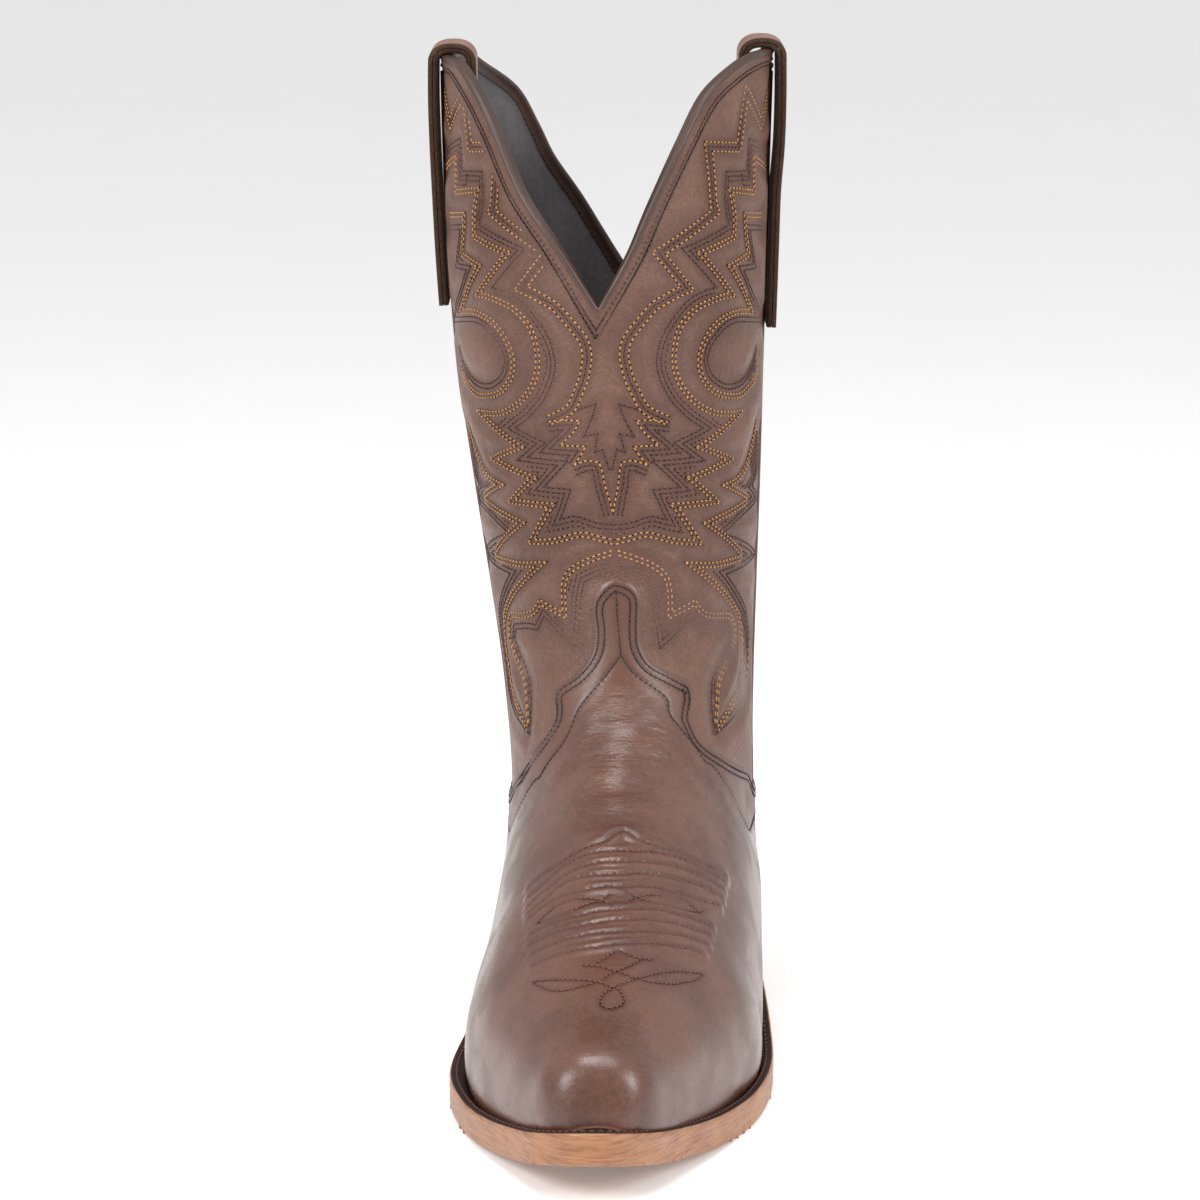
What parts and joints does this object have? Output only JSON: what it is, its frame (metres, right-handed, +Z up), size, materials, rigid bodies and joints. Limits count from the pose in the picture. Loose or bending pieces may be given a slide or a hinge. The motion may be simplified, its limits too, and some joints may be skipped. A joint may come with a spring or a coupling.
{
  "type": "cowboy boot",
  "caption": "Left cowboy boot: scalloped stitched shaft with pull straps, tongued vamp, welted leather sole and stacked underslung heel.",
  "frame": {"origin": "centre of the heel tread, on the floor", "axes": "+Z up the shaft, -Y towards the toe, +X towards the outer side of this left boot"},
  "size_m": [0.1292, 0.3362, 0.3572],
  "materials": {
    "cork_filler": null,
    "counter_cover": "glossy dark chocolate full-grain leather",
    "foot_lining": "plain lining leather",
    "heel_cap": "matt black-brown rubber",
    "heel_lift_1": "stacked leather",
    "heel_lift_2": "stacked leather",
    "heel_lift_3": "stacked leather",
    "heel_lift_4": "stacked leather",
    "heel_lining": "plain lining leather",
    "heel_nail_1": "flush brass nail",
    "heel_nail_2": "flush brass nail",
    "heel_nail_3": "flush brass nail",
    "heel_nail_4": "flush brass nail",
    "heel_nail_5": "flush brass nail",
    "heel_nail_6": "flush brass nail",
    "heel_rand": "dark stitched welt leather",
    "heel_stiffener": "firm leatherboard",
    "insole_board": "veg-tanned insole leather",
    "outsole": "tan veg-tanned sole leather",
    "pull_strap_inner": "satin mid-brown leather",
    "pull_strap_outer": "satin mid-brown leather",
    "shaft_back": "satin mid-brown leather",
    "shaft_front": "satin mid-brown leather",
    "shaft_lining_back": "smooth black lining leather",
    "shaft_lining_front": "smooth black lining leather",
    "side_piping_inner": "folded dark brown piping",
    "side_piping_outer": "folded dark brown piping",
    "sock_lining": "soft sock leather",
    "steel_shank": "plain spring steel",
    "strap_backing_inner": "raw brown split leather",
    "strap_backing_outer": "raw brown split leather",
    "toe_puff": "firm leatherboard",
    "top_binding_back": "rolled dark binding with a grey sheen",
    "top_binding_front": "rolled dark binding with a grey sheen",
    "vamp": "glossy dark chocolate full-grain leather",
    "vamp_interlining": "woven interlining",
    "welt": "dark stitched welt leather",
    "wood_peg_1": "lemonwood peg",
    "wood_peg_2": "lemonwood peg",
    "wood_peg_3": "lemonwood peg",
    "wood_peg_4": "lemonwood peg",
    "wood_peg_5": "lemonwood peg",
    "wood_peg_6": "lemonwood peg",
    "wood_peg_7": "lemonwood peg",
    "wood_peg_8": "lemonwood peg"
  },
  "bodies": {
    "root": {"cork_filler": "cork_filler", "counter_cover": "counter_cover", "foot_lining": "foot_lining", "heel_cap": "heel_cap", "heel_lift_1": "heel_lift_1", "heel_lift_2": "heel_lift_2", "heel_lift_3": "heel_lift_3", "heel_lift_4": "heel_lift_4", "heel_lining": "heel_lining", "heel_nail_1": "heel_nail_1", "heel_nail_2": "heel_nail_2", "heel_nail_3": "heel_nail_3", "heel_nail_4": "heel_nail_4", "heel_nail_5": "heel_nail_5", "heel_nail_6": "heel_nail_6", "heel_rand": "heel_rand", "heel_stiffener": "heel_stiffener", "insole_board": "insole_board", "outsole": "outsole", "pull_strap_inner": "pull_strap_inner", "pull_strap_outer": "pull_strap_outer", "shaft_back": "shaft_back", "shaft_front": "shaft_front", "shaft_lining_back": "shaft_lining_back", "shaft_lining_front": "shaft_lining_front", "side_piping_inner": "side_piping_inner", "side_piping_outer": "side_piping_outer", "sock_lining": "sock_lining", "steel_shank": "steel_shank", "strap_backing_inner": "strap_backing_inner", "strap_backing_outer": "strap_backing_outer", "toe_puff": "toe_puff", "top_binding_back": "top_binding_back", "top_binding_front": "top_binding_front", "vamp": "vamp", "vamp_interlining": "vamp_interlining", "welt": "welt", "wood_peg_1": "wood_peg_1", "wood_peg_2": "wood_peg_2", "wood_peg_3": "wood_peg_3", "wood_peg_4": "wood_peg_4", "wood_peg_5": "wood_peg_5", "wood_peg_6": "wood_peg_6", "wood_peg_7": "wood_peg_7", "wood_peg_8": "wood_peg_8"}
  },
  "joints": []
}
